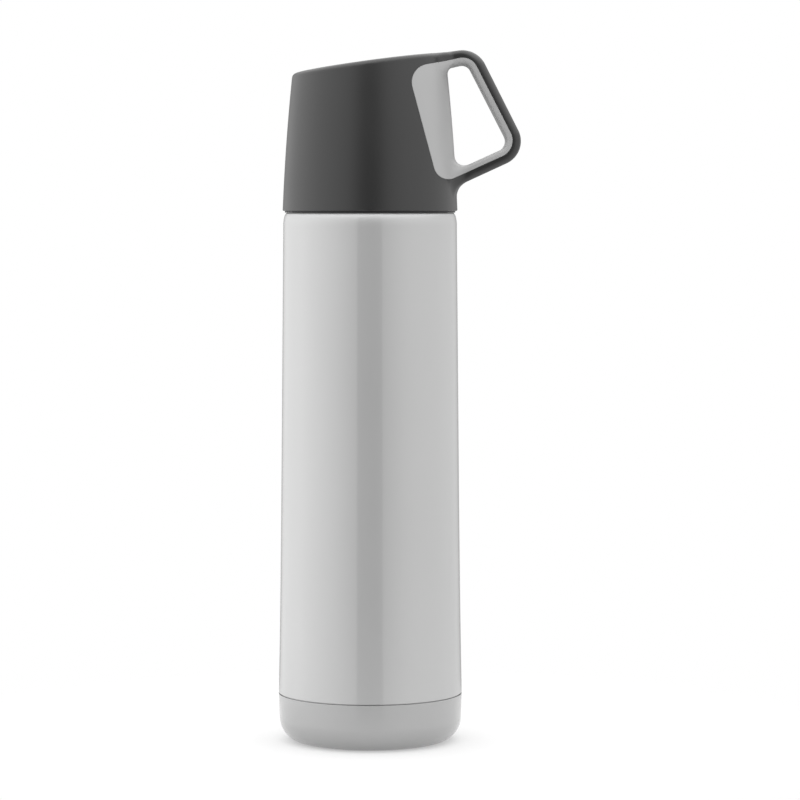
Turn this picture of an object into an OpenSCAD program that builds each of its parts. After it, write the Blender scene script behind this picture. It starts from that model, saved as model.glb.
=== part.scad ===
// Vacuum flask with a mug lid and a push-button stopper, in millimetres.
// +Z is up, the origin is the centre of the standing ring, and the mug's handle points to +X.

/* [Steel body] */
// Height of the body up to the flat of its shoulder
body_h = 201.5; // [196:0.1:207]
// Radius just under the rounded shoulder
shoulder_r = 33; // [32.8:0.1:33.2]
// Height of the seam between the body and its base cup
seam_z = 18.3; // [17.5:0.1:19.5]
// Even widening of the radius from the shoulder down to the seam
taper = 1.6; // [1.4:0.1:1.8]
// Extra widening that gathers just above the seam
flare = 0.47; // [0.4:0.01:0.6]
// Height of the rounded bottom corner
corner_h = 9.5; // [8.5:0.5:10]
// Width of the rounded bottom corner
corner_w = 8; // [7:0.5:9]
// Thickness of the outer steel
steel_t = 0.5; // [0.45:0.05:0.6]

/* [Inner vessel] */
// Outer radius of the inner vessel
liner_r = 30.4; // [30.2:0.1:30.6]
// Thickness of the inner steel
liner_t = 0.45; // [0.4:0.05:0.5]
// Height of the inner vessel's flat bottom
liner_z = 9; // [8.8:0.1:9.6]
// Inner radius of the neck
throat_r = 23.3; // [23.2:0.05:23.4]
// Height of the mouth rim over the shoulder
mouth_rise = 15.6; // [15.4:0.1:16]

/* [Mug lid] */
// Gap between the shoulder and the mug's rim
rim_gap = 0.7; // [0.7:0.05:1]
// Outer radius of the mug at its rim
cup_r = 33.2; // [33.1:0.1:33.4]
// Height of the slanted top on the mug's axis
cup_h = 55.8; // [55:0.1:57]
// Slant of the top, in degrees
cup_slant = 7.7; // [7.5:0.1:8]
// Thickness of the dark outer moulding
shell_t = 1.2; // [1:0.1:1.2]
// Thickness of the light inner mug
mug_t = 1.2; // [1:0.1:1.2]
// Width of the handle
handle_w = 17; // [15:0.5:18]
// Thickness of the light lining round the finger hole
lining_t = 2.5; // [2.2:0.1:2.8]

/* [Stopper] */
// Radius of the push button
button_r = 14; // [13.5:0.1:14]
// Travel of the push button
button_travel = 3.5; // [3:0.1:3.5]
// Number of grip ribs round the stopper's housing
grip_ribs = 20; // [16:1:24]

/* [Hidden] */

$fn = 96;
arc_steps = 8;          // straight steps in a rounded corner
wall_steps = 24;        // straight steps along a curved wall
bond_gap = 0.02;        // gap between two pieces moulded or pressed together
rest_gap = 0.03;        // gap under and over a ring that lifts off
far = 100;              // reach of a cutting block, past every face

// Body
top_roll = 7;           // height over which the shoulder rolls in at the top of the wall
seam_w = 0.45;          // width of the seam's groove
spigot_h = 4;           // height of the base cup's spigot inside the outer shell
spigot_r = 34.3;
ring_in_r = 24.6;       // inner edge of the standing ring
recess_z = 3;           // height of the recess under the base
vent_r = 1.2;           // evacuation hole

// Neck and threads
neck_r = 26.6;          // outer radius of the outer neck
mouth_z = body_h + mouth_rise;
liner_top_z = body_h - 3;
knuckle_r = 6;          // rounding of the inner vessel's bottom edge
liner_weld_z = liner_z + knuckle_r + 1;
thread_starts = 3;
thread_pitch = 3.2;     // height from one row of ridges to the next
collar_root_r = 27.95;
collar_crest_r = 28.85;
collar_flange_r = 29.6;
cup_root_r = 30;
cup_crest_r = 29.1;
throat_crest_r = 22.35;
plug_r = 21;
plug_crest_r = 22.1;

// Mug
cup_z = body_h + rim_gap;
cup_lean = 0.04;        // narrowing of the mug's wall with height
cup_bulge = 0.00064;     // and its growth, which makes the wall barrel-shaped
thread_zone_h = 14.5;   // straight bore inside the mug's rim
cup_in = shell_t + mug_t;

// Corners of the handle's outlines in the X-Z plane, from the mug's rim up: [x, z, corner radius]
function top_at(x) = cup_h + x * tan(cup_slant);
function cup_rz(z) = cup_r - cup_lean * z - cup_bulge * z * z;
band_foot_z = 5.9;
band = [
    [0, top_at(0), 0], [40.4, top_at(40.4), 9.5], [60.4, 21.9, 9.2],
    [cup_rz(9.2), 9.2, 4.5], [cup_rz(9.2), band_foot_z, 0], [0, band_foot_z, 0]
];
window = [[14.1, 52.9, 7.1], [38.1, 58.5, 6], [56.2, 23.4, 6.4], [25.9, 9.6, 5.6]];
hole_top_r = 3;         // rounding where the finger hole meets the mug's wall, above
hole_foot_r = 5;        // and below

// Stopper, upwards from the valve
seat_z = mouth_z - 27.5;
plug_z = seat_z + 2.5;
flange_z = mouth_z + 1.55;
deck_z = mouth_z + 3.6;
floor_z = deck_z + 3.8;
well_z = floor_z + 1.6;
housing_z = well_z + 8;
button_z = housing_z + 3.2;
channel_r = 8.5;
seat_r = 7.6;
chamber_r = 19.4;
flange_r = 26.6;
housing_r = 22;
stem_r = 2.2;
stem_clear = 0.07;
guide_h = 2.4;          // height of the stem's guide over the well's floor
wire_r = 0.55;
spring_r = 7;
spring_turns = 4.5;

// Radius of the steel body at height z
function wall_share(z) = max(0, (body_h - top_roll - z) / (body_h - top_roll - seam_z));
function body_rz(z) = shoulder_r + taper * wall_share(z) + flare * pow(wall_share(z), 6);

// Quarter of an ellipse from angle a to angle b, in degrees
function ellipse(c, rx, rz, a, b) =
    [for (i = [0:arc_steps]) let (t = a + (b - a) * i / arc_steps) c + [rx * cos(t), rz * sin(t)]];

// The same points, last one first
function reversed(v) = [for (i = [len(v) - 1:-1:0]) v[i]];

// Rounds and insets the corners of a closed outline
function flat(p) = [p[0], p[1]];
function unit(v) = v / norm(v);
function half_angle(a, b, c) = acos(unit(flat(a) - flat(b)) * unit(flat(c) - flat(b))) / 2;
function inward(a, b, c) = unit(unit(flat(a) - flat(b)) + unit(flat(c) - flat(b)));
function short_turn(t) = t > 180 ? t - 360 : t < -180 ? t + 360 : t;
function corner_arc(a, b, c) =
    let (
        half = half_angle(a, b, c),
        centre = flat(b) + inward(a, b, c) * b[2] / sin(half),
        start = flat(b) + unit(flat(a) - flat(b)) * b[2] / tan(half) - centre,
        stop = flat(b) + unit(flat(c) - flat(b)) * b[2] / tan(half) - centre,
        first = atan2(start[1], start[0]),
        turn = short_turn(atan2(stop[1], stop[0]) - first)
    )
    [for (i = [0:arc_steps]) centre + b[2] * [cos(first + turn * i / arc_steps), sin(first + turn * i / arc_steps)]];
function neighbour(v, i) = v[(i + len(v)) % len(v)];
function rounded(v) = [
    for (i = [0:len(v) - 1])
        each v[i][2] > 0 ? corner_arc(neighbour(v, i - 1), v[i], neighbour(v, i + 1)) : [flat(v[i])]
];
function inset(v, d) = [
    for (i = [0:len(v) - 1])
        let (
            a = neighbour(v, i - 1),
            c = neighbour(v, i + 1),
            p = flat(v[i]) + inward(a, v[i], c) * d / sin(half_angle(a, v[i], c))
        )
        [p[0], p[1], v[i][2] - d]
];
function on_line(p, q, x) = p[1] + (q[1] - p[1]) * (x - p[0]) / (q[0] - p[0]);

// The finger hole: the window's outline moved in by the lining, ending at the mug's wall
lined = inset(window, lining_t);
hole_top_x = cup_rz(53);
hole_foot_x = cup_rz(15);
hole = [
    [hole_top_x, on_line(lined[0], lined[1], hole_top_x), hole_top_r],
    lined[1], lined[2],
    [hole_foot_x, on_line(lined[2], lined[3], hole_foot_x), hole_foot_r]
];

// Ring of a rectangular section
module ring(r_in, r_out, z0, z1) {
    translate([0, 0, z0]) difference() {
        cylinder(h = z1 - z0, r = r_out);
        translate([0, 0, -1]) cylinder(h = z1 - z0 + 2, r = r_in);
    }
}

// Quick thread: rows of short ridges from radius r0 to r1, each tilted along its helix
module thread(r0, r1, z0, rows) {
    lead = thread_starts * thread_pitch;
    sink = r1 > r0 ? -0.3 : 0.3;  // how far a ridge reaches into its wall
    foot = 1.9;                     // width at the wall
    crest = 0.8;                    // width at the crest
    span = 96;                      // angle that a ridge runs through
    for (row = [0:rows - 1], start = [0:thread_starts - 1])
        translate([0, 0, z0 + thread_pitch * row]) rotate(360 * start / thread_starts)
            rotate([atan(lead / (360 * r0) * 180 / PI), 0, 0]) rotate(-span / 2)
                rotate_extrude(angle = span) polygon([
                    [r0 + sink, -foot / 2], [r1, -crest / 2], [r1, crest / 2], [r0 + sink, foot / 2]
                ]);
}

// Solid inside the mug's outer wall and slanted top, moved in by side and by top
module mug_block(side, top, z0) {
    z1 = cup_h + 10;    // above the highest point of the slanted top
    difference() {
        rotate_extrude() polygon(concat(
            [[0, z0]],
            [for (i = [0:wall_steps]) let (z = z0 + (z1 - z0) * i / wall_steps) [cup_rz(z) - side, z]],
            [[0, z1]]
        ));
        translate([0, 0, cup_h - top / cos(cup_slant)]) rotate([0, -cup_slant, 0])
            translate([-far, -far, 0]) cube([2 * far, 2 * far, far]);
    }
}

// Prism of an outline in the X-Z plane, centred on Y
module prism(outline, width) {
    translate([0, width / 2, 0]) rotate([90, 0, 0]) linear_extrude(width) polygon(outline);
}

module outer_shell() {
    z0 = seam_z + seam_w / 2;
    z1 = body_h - top_roll;
    neck_top = mouth_z - 0.62;
    // How far the rounded shoulder has come in, and how far below its flat
    roll = [[0, 4], [0.2, 2.2], [0.6, 0.6], [1.4, 0]];
    outer = concat(
        [for (i = [0:wall_steps]) let (z = z0 + (z1 - z0) * i / wall_steps) [body_rz(z), z]],
        [for (p = roll) [shoulder_r - p[0], body_h - p[1]]],
        [[neck_r, body_h], [neck_r, neck_top]]
    );
    inner = concat(
        [for (i = [0:wall_steps]) let (z = z0 + (z1 - z0) * i / wall_steps) [body_rz(z) - steel_t, z]],
        [for (p = roll) [shoulder_r - p[0] - steel_t, body_h - p[1] - (p[1] < 1 ? steel_t : 0.1)]],
        [[neck_r - steel_t, body_h - steel_t], [neck_r - steel_t, neck_top]]
    );
    color("silver") rotate_extrude() polygon(concat(outer, reversed(inner)));
}

module base_cup() {
    z1 = seam_z - seam_w / 2;
    corner_r = body_rz(seam_z) - 0.2;
    corner = [corner_r - corner_w, corner_h];
    outer = concat(
        ellipse(corner, corner_w, corner_h, -90, 0),
        [[body_rz(seam_z), z1], [spigot_r, z1], [spigot_r, z1 + spigot_h]]
    );
    inner = concat(
        [[ring_in_r, steel_t]],
        ellipse(corner, corner_w - steel_t, corner_h - steel_t, -90, 0),
        [[corner_r - steel_t, z1 - 2], [spigot_r - steel_t, z1 - 1.2], [spigot_r - steel_t, z1 + spigot_h]]
    );
    floor_top = recess_z + steel_t;
    recess = [
        [ring_in_r - steel_t, 0.4], [ring_in_r - steel_t, recess_z], [vent_r, recess_z],
        [vent_r, floor_top], [ring_in_r, floor_top]
    ];
    color("silver") rotate_extrude()
        polygon(concat(recess, inner, reversed(outer), [[ring_in_r - steel_t + 0.4, 0]]));
}

module base_disc() {
    disc_r = ring_in_r - steel_t - 0.3;
    disc_z = 1.4;
    disc_t = 0.5;
    color("gainsboro") rotate_extrude() polygon([
        [0, disc_z], [disc_r - 0.4, disc_z], [disc_r, disc_z + 0.4], [disc_r, recess_z],
        [disc_r - disc_t, recess_z], [disc_r - disc_t, disc_z + disc_t], [0, disc_z + disc_t]
    ]);
}

module seal_bead() {
    color("dimgray") {
        translate([0, 0, recess_z - 0.7]) cylinder(h = 0.7, r = 2.2);
        translate([0, 0, recess_z - 0.1]) cylinder(h = 0.9, r = vent_r - bond_gap);
    }
}

module liner() {
    neck_out = throat_r + liner_t;
    bend = liner_r - neck_out;
    bend_z = liner_top_z - bend;
    lip_z = mouth_z - 0.6;
    outer = concat(
        [[liner_r, liner_weld_z]],
        ellipse([neck_out, bend_z], bend, bend, 0, 82),
        [[neck_out, liner_top_z + 1], [neck_out, lip_z], [neck_r, lip_z], [neck_r, mouth_z - 0.2]]
    );
    inner = concat(
        [[liner_r - liner_t, liner_weld_z]],
        ellipse([neck_out, bend_z], bend - liner_t, bend - liner_t, 0, 82),
        [[throat_r, liner_top_z + 0.6], [throat_r, mouth_z - 0.3]]
    );
    color("lightgray") {
        rotate_extrude() polygon(concat(
            outer, [[neck_r - 0.2, mouth_z], [throat_r + 0.3, mouth_z]], reversed(inner)));
        thread(throat_r, throat_crest_r, mouth_z - 9.2, 2);
    }
}

module liner_base() {
    knuckle = [liner_r - knuckle_r, liner_z + knuckle_r];
    outer = concat([[0, liner_z]], ellipse(knuckle, knuckle_r, knuckle_r, -90, 0), [[liner_r, liner_weld_z]]);
    inner = concat(
        [[0, liner_z + liner_t]],
        ellipse(knuckle, knuckle_r - liner_t, knuckle_r - liner_t, -90, 0),
        [[liner_r - liner_t, liner_weld_z]]
    );
    color("lightgray") rotate_extrude() polygon(concat(outer, reversed(inner)));
}

module reflector_foil() {
    color("peru") ring(liner_r + 0.05, liner_r + 0.15, liner_weld_z + 6, liner_top_z - 9);
}

getter_x = 10;          // the getter sits beside the evacuation hole
getter_r = 4.2;
getter_h = 2.2;
clip_t = 0.4;

module getter_pill() {
    color("darkslategray") translate([getter_x, 0, liner_z - clip_t - bond_gap - getter_h])
        cylinder(h = getter_h, r = getter_r);
}

module getter_clip() {
    tab = 6;
    color("slategray") {
        translate([getter_x - 10, -tab / 2, liner_z - clip_t]) cube([20, tab, clip_t]);
        translate([getter_x, 0, 0])
            ring(getter_r + 0.05, getter_r + 0.05 + clip_t, liner_z - clip_t - getter_h + 0.4, liner_z - 0.1);
    }
}

module neck_collar() {
    collar_top = mouth_z - 1.6;
    color("#2b2b2d") {
        rotate_extrude() polygon([
            [neck_r + bond_gap, body_h], [collar_flange_r, body_h], [collar_flange_r, body_h + 0.7],
            [collar_root_r, body_h + 1.2], [collar_root_r, collar_top - 0.5],
            [collar_root_r - 0.5, collar_top], [neck_r + bond_gap, collar_top]
        ]);
        thread(collar_root_r, collar_crest_r, body_h + 5.2, 2);
    }
}

module cup_seal() {
    color("#1c1c1e") ring(collar_flange_r + 0.5, shoulder_r - 0.6, body_h + rest_gap, cup_z - rest_gap);
}

module cup_liner() {
    color("#b0b0b0") translate([0, 0, cup_z]) {
        difference() {
            union() {
                mug_block(shell_t + bond_gap, shell_t + bond_gap, 0);
                intersection() {
                    mug_block(0, 0, 0);
                    prism(rounded(inset(window, bond_gap)), far);
                }
                prism(rounded(inset(window, bond_gap)), handle_w);
            }
            difference() {
                prism(rounded(hole), far);
                mug_block(0, 0, 0);
            }
            mug_block(cup_in, cup_in, thread_zone_h);
            translate([0, 0, -1]) cylinder(h = thread_zone_h + 1.01, r = cup_root_r);
        }
        thread(cup_root_r, cup_crest_r, 3.8, 2);
    }
}

module cup_shell() {
    color("#4b4b4b") translate([0, 0, cup_z]) difference() {
        union() {
            mug_block(0, 0, 0);
            prism(rounded(band), handle_w);
        }
        mug_block(shell_t, shell_t, -1);
        prism(rounded(window), far);
    }
}

module stopper_seal() {
    color("#e8e4da") ring(throat_r - 0.3, flange_r - 0.3, mouth_z + rest_gap, flange_z - rest_gap);
}

module stopper_body() {
    color("#2f2f31") {
        rotate_extrude() polygon([
            [channel_r, plug_z], [channel_r + 1.5, plug_z], [channel_r + 1.5, flange_z],
            [chamber_r, flange_z], [chamber_r, plug_z], [plug_r, plug_z], [plug_r, flange_z],
            [flange_r - 0.4, flange_z], [flange_r, flange_z + 0.4], [flange_r, deck_z - 0.4],
            [flange_r - 0.4, deck_z], [channel_r, deck_z]
        ]);
        thread(plug_r, plug_crest_r, mouth_z - 10.4, 2);
    }
}

module stopper_base() {
    socket_r = chamber_r - bond_gap;
    color("#2f2f31") rotate_extrude() polygon([
        [seat_r, seat_z], [plug_r - 0.5, seat_z], [plug_r, seat_z + 0.5], [plug_r, plug_z],
        [socket_r, plug_z], [socket_r, plug_z + 3], [socket_r - 1.7, plug_z + 3],
        [socket_r - 1.7, plug_z], [seat_r, plug_z]
    ]);
}

module stopper_foam() {
    color("ivory") ring(channel_r + 1.6, chamber_r - 0.1, plug_z + 3.1, flange_z - 0.15);
}

module stopper_top() {
    wall = 2;
    slot_w = 11;
    well_r = button_r + 0.1;
    guide_r = 5;
    groove_r = 3.6;
    bore_r = stem_r + stem_clear;
    color("#3a3a3c") difference() {
        union() {
            rotate_extrude() polygon([
                [housing_r - wall, deck_z], [housing_r, deck_z], [housing_r, housing_z - 1],
                [housing_r - 1, housing_z], [well_r, housing_z], [well_r, well_z], [guide_r, well_z],
                [guide_r, well_z + guide_h], [bore_r, well_z + guide_h], [bore_r, well_z + 2],
                [groove_r, well_z + 2], [groove_r, well_z + 0.6], [bore_r, well_z + 0.6],
                [bore_r, floor_z], [housing_r - wall, floor_z]
            ]);
            for (i = [0:grip_ribs - 1]) rotate(360 * i / grip_ribs) translate([housing_r, 0, floor_z])
                cylinder(h = housing_z - floor_z - 1.4, r = 0.8, $fn = 24);
        }
        for (i = [0:3]) rotate(45 + 90 * i)
            translate([housing_r - 4, -slot_w / 2, deck_z - 1]) cube([8, slot_w, floor_z - deck_z + 0.8]);
        rotate_extrude() translate([well_r + 1.5, well_z]) square([housing_r - wall - well_r - 1.5, 4]);
    }
}

module stem_seal() {
    color("#1c1c1e") translate([0, 0, well_z + 1.3]) rotate_extrude()
        translate([stem_r + 0.7, 0]) circle(r = 0.65, $fn = 24);
}

module push_button() {
    hollow_r = button_r - 1.6;
    roof_z = button_z - 1.8;
    boss_r = 4;
    boss_z = well_z + guide_h + button_travel + 0.2;
    hole_r = stem_r + bond_gap;
    skirt_z = well_z + button_travel + 0.1;
    color("#8c8c8c") rotate_extrude() polygon(concat(
        [[0, button_z - 0.5], [button_r * 0.5, button_z - 0.35]],
        reversed(ellipse([button_r - 1.2, button_z - 1.2], 1.2, 1.2, 0, 90)),
        [[button_r, skirt_z], [hollow_r, skirt_z], [hollow_r, roof_z], [boss_r, roof_z],
         [boss_r, boss_z], [hole_r, boss_z], [hole_r, roof_z - 0.6], [0, roof_z - 0.6]]
    ));
}

module valve_stem() {
    head_z = seat_z - 4.6;
    color("gainsboro") rotate_extrude() polygon([
        [0, head_z], [3, head_z], [3.4, head_z + 0.4], [3.4, head_z + 1.38],
        [stem_r, head_z + 1.38], [stem_r, button_z - 2.42], [0, button_z - 2.42]
    ]);
}

module valve_disc() {
    disc_z = seat_z - 3.2;
    color("#3a3a3c") rotate_extrude() polygon([
        [stem_r + bond_gap, disc_z], [9.4, disc_z], [9.9, disc_z + 0.5], [9.9, disc_z + 2],
        [6.4, disc_z + 2], [6.4, seat_z + 0.6], [stem_r + bond_gap, seat_z + 1.6]
    ]);
}

module valve_seal() {
    color("#e8e4da") ring(6.4 + bond_gap, 9.4, seat_z - 1.2 + bond_gap, seat_z - 0.04);
}

module button_spring() {
    sides = 8;
    per_turn = 20;
    steps = spring_turns * per_turn;
    z0 = well_z + wire_r + 0.05;
    z1 = button_z - 1.85 - wire_r;
    rings = [
        for (i = [0:steps], k = [0:sides - 1])
            let (t = 360 * i / per_turn, w = 360 * k / sides, r = spring_r + wire_r * cos(w))
            [r * cos(t), r * sin(t), z0 + (z1 - z0) * i / steps + wire_r * sin(w)]
    ];
    last = steps * sides;
    color("silver") polyhedron(rings, concat(
        [[for (k = [0:sides - 1]) k]],
        [[for (k = [sides - 1:-1:0]) last + k]],
        [for (i = [0:steps - 1], k = [0:sides - 1])
            let (a = i * sides + k, b = i * sides + (k + 1) % sides)
            each [[a, a + sides, b + sides], [a, b + sides, b]]]
    ));
}

outer_shell();
base_cup();
base_disc();
seal_bead();
liner();
liner_base();
reflector_foil();
getter_pill();
getter_clip();
neck_collar();
cup_seal();
cup_liner();
cup_shell();
stopper_seal();
stopper_body();
stopper_base();
stopper_foam();
stopper_top();
stem_seal();
push_button();
valve_stem();
valve_disc();
valve_seal();
button_spring();
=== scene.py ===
"""Looks of a vacuum flask with a mug lid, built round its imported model.

Lengths are in millimetres until mesh_piece() turns them into metres.
"""

import math

import bpy
import numpy as np
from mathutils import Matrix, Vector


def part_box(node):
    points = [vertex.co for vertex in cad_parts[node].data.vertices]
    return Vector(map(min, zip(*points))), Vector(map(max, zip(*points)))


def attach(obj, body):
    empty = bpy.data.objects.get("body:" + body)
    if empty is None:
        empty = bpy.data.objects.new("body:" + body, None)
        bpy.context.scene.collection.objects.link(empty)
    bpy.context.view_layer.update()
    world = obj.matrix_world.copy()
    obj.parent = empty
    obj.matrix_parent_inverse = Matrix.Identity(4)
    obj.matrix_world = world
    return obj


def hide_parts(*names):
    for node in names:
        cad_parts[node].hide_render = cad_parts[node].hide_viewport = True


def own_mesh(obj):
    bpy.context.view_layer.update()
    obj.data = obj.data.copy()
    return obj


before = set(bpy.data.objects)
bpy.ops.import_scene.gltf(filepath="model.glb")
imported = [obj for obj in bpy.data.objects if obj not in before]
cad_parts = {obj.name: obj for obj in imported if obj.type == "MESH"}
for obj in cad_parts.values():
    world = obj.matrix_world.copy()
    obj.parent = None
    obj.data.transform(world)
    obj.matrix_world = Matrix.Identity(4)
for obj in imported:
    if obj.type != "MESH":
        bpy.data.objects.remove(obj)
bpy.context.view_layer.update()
MM = 0.001


# ---------------------------------------------------------------- places taken from the frame


def low(node, axis=2):
    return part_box(node)[0][axis] / MM


def high(node, axis=2):
    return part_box(node)[1][axis] / MM


BODY_H = low("neck_collar")  # the shoulder's flat
MOUTH_Z = high("liner")
CUP_Z = low("cup_shell")  # the mug's rim
SEAM_TOP = low("outer_shell")
SEAM_W = 0.45
SEAM_LIP = 0.05  # rounding of its two edges
SEAM_Z = SEAM_TOP - SEAM_W / 2
BASE_TOP = SEAM_TOP - SEAM_W
NECK_R = 26.6
SHOULDER_R = 33.0
TAPER, FLARE = 1.59, 0.47  # even widening towards the seam, and what gathers just above it
WALL_TOP = BODY_H - 7  # where the wall's formula ends
STEEL_T = 0.5
LINER_R, LINER_T = 30.4, 0.45
THROAT_R = 23.3
PLUG_Z, DECK_Z = low("stopper_body"), high("stopper_body")
SEAT_Z = low("stopper_base")
BUTTON_Z = high("push_button")
BUTTON_R = high("push_button", 0)
FLANGE_Z = MOUTH_Z + 1.55

# The mug, measured up from its rim
CUP_R, CUP_H, CUP_SLANT = 33.2, 55.79, math.radians(7.7)
CUP_LEAN, CUP_BULGE = 0.04, 0.00064
SHELL_T, MUG_T = 1.2, 1.2
HANDLE_W = 17.0
LINING_T = 2.5
THREAD_BORE_R, THREAD_BORE_H = 30.0, 14.5


def wall_r(z):
    """Radius of the steel body at height z."""
    share = max(0.0, (WALL_TOP - z) / (WALL_TOP - SEAM_Z))
    return SHOULDER_R + TAPER * share + FLARE * share**6


def cup_wall_r(z):
    """Outer radius of the mug at height z over its rim."""
    return CUP_R - CUP_LEAN * z - CUP_BULGE * z * z


def cup_top(x):
    """Height of the mug's slanted top at x."""
    return CUP_H + x * math.tan(CUP_SLANT)


# ---------------------------------------------------------------- mesh tools


def mesh_piece(name, part, body, node, mat, sharp=38):
    """An object from (verts, faces) that replaces a node: smooth but for edges sharper than that angle."""
    verts, faces = part
    data = bpy.data.meshes.new(name)
    data.from_pydata([tuple(MM * c for c in v) for v in np.asarray(verts, float).tolist()], [], faces)
    data.validate()
    data.polygons.foreach_set("use_smooth", [True] * len(data.polygons))
    data.set_sharp_from_angle(angle=math.radians(sharp))
    piece = bpy.data.objects.new(name, data)
    bpy.context.scene.collection.objects.link(piece)
    data.materials.append(mat)
    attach(piece, body)
    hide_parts(node)
    return piece


def joined(*parts):
    """(verts, faces) of several such pairs as one."""
    verts, faces = [], []
    for v, f in parts:
        faces += [[i + len(verts) for i in face] for face in f]
        verts += [tuple(p) for p in v]
    return verts, faces


def corner_frame(corners, i):
    """Corner i's point, the unit vectors back and on from it, the one midway, and half the angle."""
    here = np.array(corners[i][:2])
    back = np.array(corners[i - 1][:2]) - here
    on = np.array(corners[(i + 1) % len(corners)][:2]) - here
    back, on = back / np.linalg.norm(back), on / np.linalg.norm(on)
    half = math.acos(np.clip(back @ on, -1, 1)) / 2
    return here, back, on, (back + on) / np.linalg.norm(back + on), half


def filleted(corners, step=12):
    """Points of a closed outline with its corners (x, y, radius) rounded, a point every step degrees."""
    points = []
    for i, (x, y, r) in enumerate(corners):
        if r <= 0:
            points.append((x, y))
            continue
        here, back, on, middle, half = corner_frame(corners, i)
        centre = here + middle * r / math.sin(half)
        start, stop = here + back * r / math.tan(half) - centre, here + on * r / math.tan(half) - centre
        first = math.atan2(start[1], start[0])
        turn = (math.atan2(stop[1], stop[0]) - first + math.pi) % (2 * math.pi) - math.pi
        n = max(2, math.ceil(abs(math.degrees(turn)) / step))
        for k in range(n + 1):
            a = first + turn * k / n
            points.append(tuple(centre + r * np.array([math.cos(a), math.sin(a)])))
    return points


def arc(cx, cy, rx, ry, a, b, n):
    """Points on an ellipse from angle a to angle b, in degrees."""
    turns = [math.radians(a + (b - a) * k / n) for k in range(n + 1)]
    return [(cx + rx * math.cos(t), cy + ry * math.sin(t)) for t in turns]


def lathe(outline, segments=144):
    """(verts, faces) of a closed outline of (r, z) points turned round Z. Any at r = 0 become one point."""
    verts, rings = [], []
    for r, z in outline:
        if r < 1e-6:
            rings.append([len(verts)])
            verts.append((0.0, 0.0, z))
        else:
            rings.append(range(len(verts), len(verts) + segments))
            for k in range(segments):
                a = 2 * math.pi * k / segments
                verts.append((r * math.cos(a), r * math.sin(a), z))
    faces = []
    for i in range(len(rings)):
        a, b = rings[i], rings[(i + 1) % len(rings)]
        if len(a) == 1 and len(b) == 1:
            continue
        for k in range(segments):
            n = (k + 1) % segments
            if len(a) == 1:
                faces.append([a[0], b[n], b[k]])
            elif len(b) == 1:
                faces.append([a[k], a[n], b[0]])
            else:
                faces.append([a[k], a[n], b[n], b[k]])
    return outward(verts, faces)


def outward(verts, faces):
    """The same closed mesh with its faces turned to look out."""
    v = np.asarray(verts, float)
    volume = 0.0
    for f in faces:
        for k in range(1, len(f) - 1):
            volume += np.dot(v[f[0]], np.cross(v[f[k]], v[f[k + 1]]))
    return verts, faces if volume > 0 else [f[::-1] for f in faces]


def sheared(part, z_from, z_to):
    """Leans the upper part of a mug-shaped mesh so that its top follows the mug's slant."""
    verts, faces = part
    out = []
    for x, y, z in verts:
        share = min(1.0, max(0.0, (z - z_from) / (z_to - z_from)))
        out.append((x, y, z + x * math.tan(CUP_SLANT) * share))
    return out, faces


THREAD_STARTS, THREAD_PITCH, THREAD_SPAN = 3, 3.2, 96  # height from row to row; degrees round a ridge
THREAD_FOOT, THREAD_CREST, THREAD_EDGE = 1.9, 0.8, 0.12  # widths of a ridge, and half its crest's chamfer
THREAD_SHOULDER = 0.82  # share of a ridge's height at which those edges begin
THREAD_SINK = 0.25  # depth of its root in the part
THREAD_STEPS, THREAD_FADE, THREAD_BLUNT = 40, 6, 0.4  # steps along it, over an end, and left at its tip


def thread(r0, r1, z0, rows=2):
    """(verts, faces) of the quick thread's ridges, from radius r0 to r1, which die away over their ends."""
    root = r0 - THREAD_SINK if r1 > r0 else r0 + THREAD_SINK
    lead = THREAD_STARTS * THREAD_PITCH
    foot = THREAD_FOOT / 2
    crest_out, crest_in = THREAD_CREST / 2 + THREAD_EDGE, THREAD_CREST / 2 - THREAD_EDGE
    parts = []
    for row in range(rows):
        for start in range(THREAD_STARTS):
            verts, faces = [], []
            for i in range(THREAD_STEPS + 1):
                turn = THREAD_SPAN * (i / THREAD_STEPS - 0.5)
                from_end = min(i, THREAD_STEPS - i) + THREAD_BLUNT
                height = (r1 - r0) * math.sin(min(1.0, from_end / THREAD_FADE) * math.pi / 2)
                crest, near = r0 + height, r0 + height * THREAD_SHOULDER
                z = z0 + THREAD_PITCH * row + lead * turn / 360
                section = [(root, -foot), (near, -crest_out), (crest, -crest_in),
                           (crest, crest_in), (near, crest_out), (root, foot)]
                a = math.radians(360 * start / THREAD_STARTS + turn)
                verts += [(r * math.cos(a), r * math.sin(a), z + dz) for r, dz in section]
            n = len(section)
            for i in range(THREAD_STEPS):
                for k in range(n):
                    a, b = i * n + k, i * n + (k + 1) % n
                    faces.append([a, b, b + n, a + n])
            last = THREAD_STEPS * n
            faces += [list(range(n))[::-1], list(range(last, last + n))]
            parts.append(outward(verts, faces))
    return joined(*parts)


# ---------------------------------------------------------------- the mug's outside as a distance field


def round_max(a, b, r):
    """Intersection of two distances, its edge rounded to radius r."""
    return np.minimum(-r, np.maximum(a, b)) + np.hypot(np.maximum(a + r, 0), np.maximum(b + r, 0))


def round_min(a, b, r):
    """Union of two distances, its inner corner filled to radius r."""
    return np.maximum(r, np.minimum(a, b)) - np.hypot(np.maximum(r - a, 0), np.maximum(r - b, 0))


def eased(t):
    """0 up to t = 0 and 1 from t = 1, with a soft start and end between."""
    t = np.clip(t, 0, 1)
    return t * t * (3 - 2 * t)


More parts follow.
